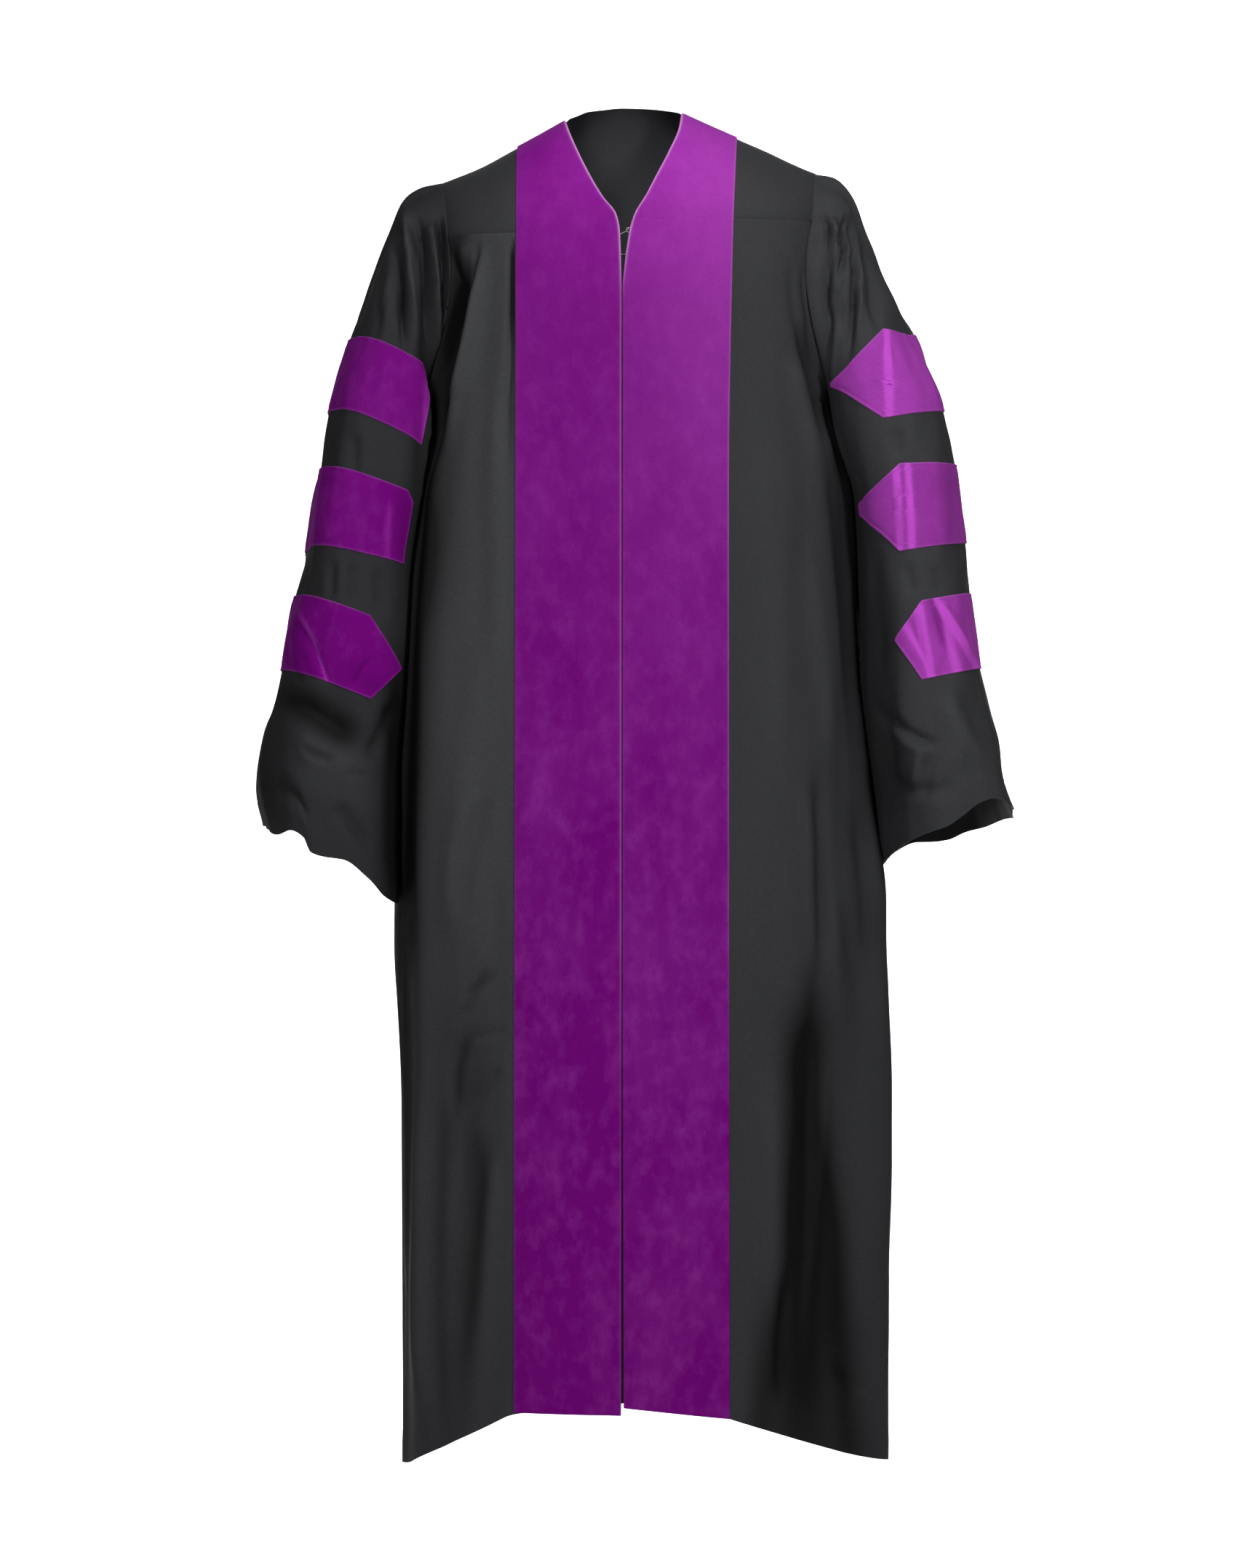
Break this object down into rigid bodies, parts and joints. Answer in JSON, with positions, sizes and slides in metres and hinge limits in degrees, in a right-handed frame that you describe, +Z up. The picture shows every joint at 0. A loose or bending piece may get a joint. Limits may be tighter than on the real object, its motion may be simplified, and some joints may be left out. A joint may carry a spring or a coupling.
{
  "type": "graduation gown",
  "caption": "Doctoral graduation gown worn open at the front, with velvet front panels and velvet bars on bell sleeves.",
  "frame": {"origin": "midway between the two shoulder points beside the neck, where the wearer's shoulders hold the gown", "axes": "+Z up, the front faces -Y, +X towards the wearer's left sleeve"},
  "size_m": [0.7756, 0.3477, 1.4112],
  "materials": {
    "gown_cloth": "black matt polyester suiting with a fine weave",
    "velvet": "purple short-pile velvet with a soft sheen",
    "wire": "nickelled wire"
  },
  "bodies": {
    "root": {"back_yoke": "gown_cloth", "back": "gown_cloth", "front_yoke_left": "gown_cloth", "front_yoke_right": "gown_cloth", "front_left": "gown_cloth", "front_right": "gown_cloth", "velvet_front_left": "velvet", "velvet_front_right": "velvet", "sleeve_left": "gown_cloth", "sleeve_right": "gown_cloth", "sleeve_bar_left_1": "velvet", "sleeve_bar_left_2": "velvet", "sleeve_bar_left_3": "velvet", "sleeve_bar_right_1": "velvet", "sleeve_bar_right_2": "velvet", "sleeve_bar_right_3": "velvet", "neck_hook": "wire", "neck_eye": "wire"}
  },
  "joints": []
}
